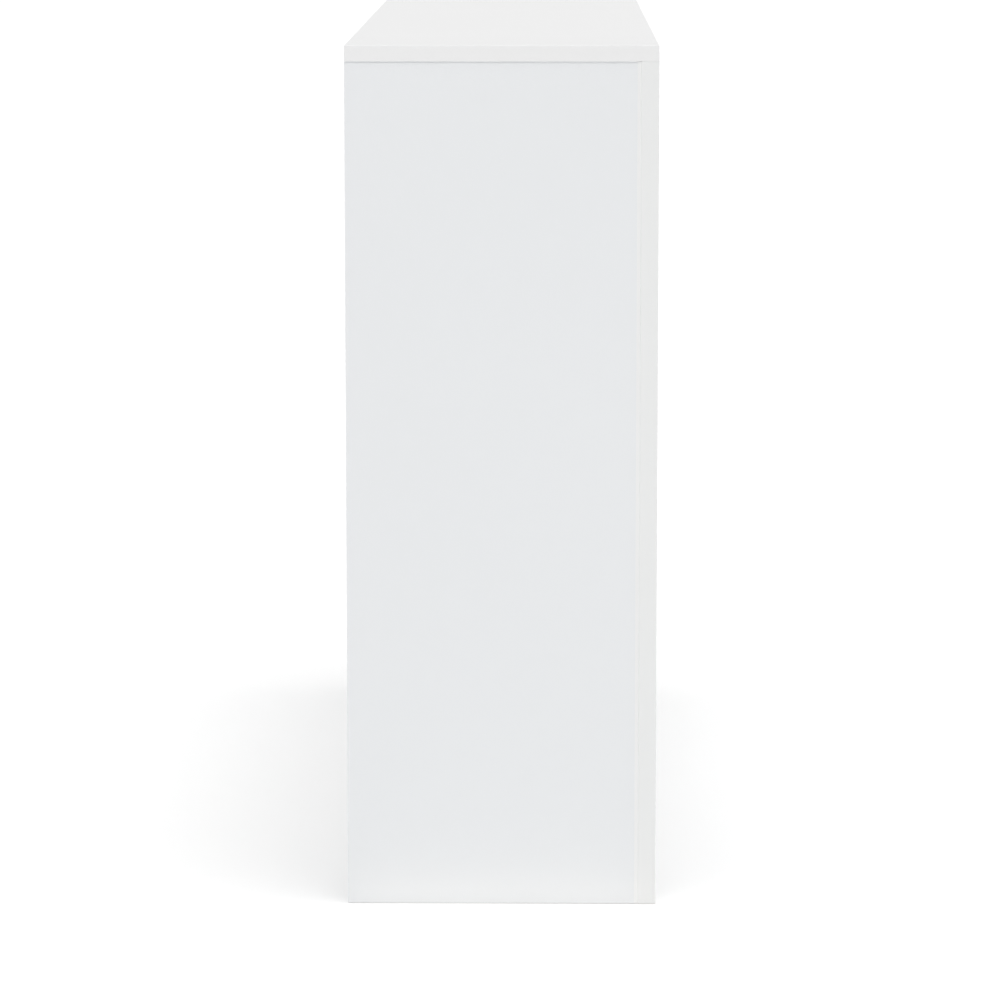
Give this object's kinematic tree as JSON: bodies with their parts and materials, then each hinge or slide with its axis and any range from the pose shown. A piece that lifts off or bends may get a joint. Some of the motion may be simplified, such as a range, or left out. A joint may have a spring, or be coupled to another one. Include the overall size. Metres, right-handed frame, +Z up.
{
  "type": "desk hutch",
  "caption": "Shallow upper unit for a desk or sideboard: a closed cupboard with inset doors above an open niche.",
  "frame": {"origin": "on the desk top that the hutch stands on, under the middle of its width and depth", "axes": "+Z up, +X along the width to the right of a person who faces the front, front at -Y"},
  "size_m": [1.2, 0.316, 0.88],
  "materials": {
    "white_board": "smooth white melamine board, satin",
    "white_hardboard": "white lacquered hardboard, matt",
    "bright_steel": "bright zinc plated",
    "spring_steel": "drawn spring wire",
    "cast_zinc": "die-cast zinc, satin",
    "bracket_steel": "bent sheet steel, zinc plated",
    "white_nylon": "moulded nylon, satin",
    "latch_housing": "moulded plastic, fine texture"
  },
  "bodies": {
    "carcass": {"back_sheet_left": "white_hardboard", "back_sheet_right": "white_hardboard", "bracket_screw_left_lower": "bright_steel", "bracket_screw_left_upper": "bright_steel", "bracket_screw_right_lower": "bright_steel", "bracket_screw_right_upper": "bright_steel", "cam_bolt_1": "bright_steel", "cam_bolt_2": "bright_steel", "cam_bolt_3": "bright_steel", "cam_bolt_4": "bright_steel", "cam_lock_1": "cast_zinc", "cam_lock_2": "cast_zinc", "cam_lock_3": "cast_zinc", "cam_lock_4": "cast_zinc", "center_divider": "white_board", "cupboard_floor": "white_board", "desk_bracket_left": "bracket_steel", "desk_bracket_right": "bracket_steel", "front_center_stile": "white_board", "front_lower_rail": "white_board", "front_stile_left": "white_board", "front_stile_right": "white_board", "front_top_rail": "white_board", "latch_housing_left": "latch_housing", "latch_housing_right": "latch_housing", "latch_spring_left": "spring_steel", "latch_spring_right": "spring_steel", "pivot_bush_left_lower": "white_nylon", "pivot_bush_left_upper": "white_nylon", "pivot_bush_right_lower": "white_nylon", "pivot_bush_right_upper": "white_nylon", "rear_stretcher": "white_board", "shelf_left": "white_board", "shelf_peg_left_inner_back": "bright_steel", "shelf_peg_left_inner_front": "bright_steel", "shelf_peg_left_outer_back": "bright_steel", "shelf_peg_left_outer_front": "bright_steel", "shelf_peg_right_inner_back": "bright_steel", "shelf_peg_right_inner_front": "bright_steel", "shelf_peg_right_outer_back": "bright_steel", "shelf_peg_right_outer_front": "bright_steel", "shelf_right": "white_board", "side_panel_left": "white_board", "side_panel_right": "white_board", "top_panel": "white_board", "wall_rail_left": "white_board", "wall_rail_right": "white_board"},
    "left_door": {"door_left": "white_board", "pivot_pin_left_lower": "bright_steel", "pivot_pin_left_upper": "bright_steel", "strike_plate_left": "bright_steel"},
    "right_door": {"door_right": "white_board", "pivot_pin_right_lower": "bright_steel", "pivot_pin_right_upper": "bright_steel", "strike_plate_right": "bright_steel"},
    "left_plunger": {"latch_plunger_left": "white_nylon"},
    "right_plunger": {"latch_plunger_right": "white_nylon"}
  },
  "joints": [
    {"name": "left_door_hinge", "type": "hinge", "parent": "carcass", "child": "left_door", "pos_m": [-0.5495, -0.152, 0.652], "axis": [0, 0, -1], "range_deg": [0, 105]},
    {"name": "right_door_hinge", "type": "hinge", "parent": "carcass", "child": "right_door", "pos_m": [0.5495, -0.152, 0.652], "axis": [0, 0, 1], "range_deg": [0, 105]},
    {"name": "left_plunger_slide", "type": "slide", "parent": "carcass", "child": "left_plunger", "axis": [0, 1, 0], "range_m": [0, 0.0035], "stiffness_N_per_m": 120},
    {"name": "right_plunger_slide", "type": "slide", "parent": "carcass", "child": "right_plunger", "axis": [0, 1, 0], "range_m": [0, 0.0035], "stiffness_N_per_m": 120}
  ]
}
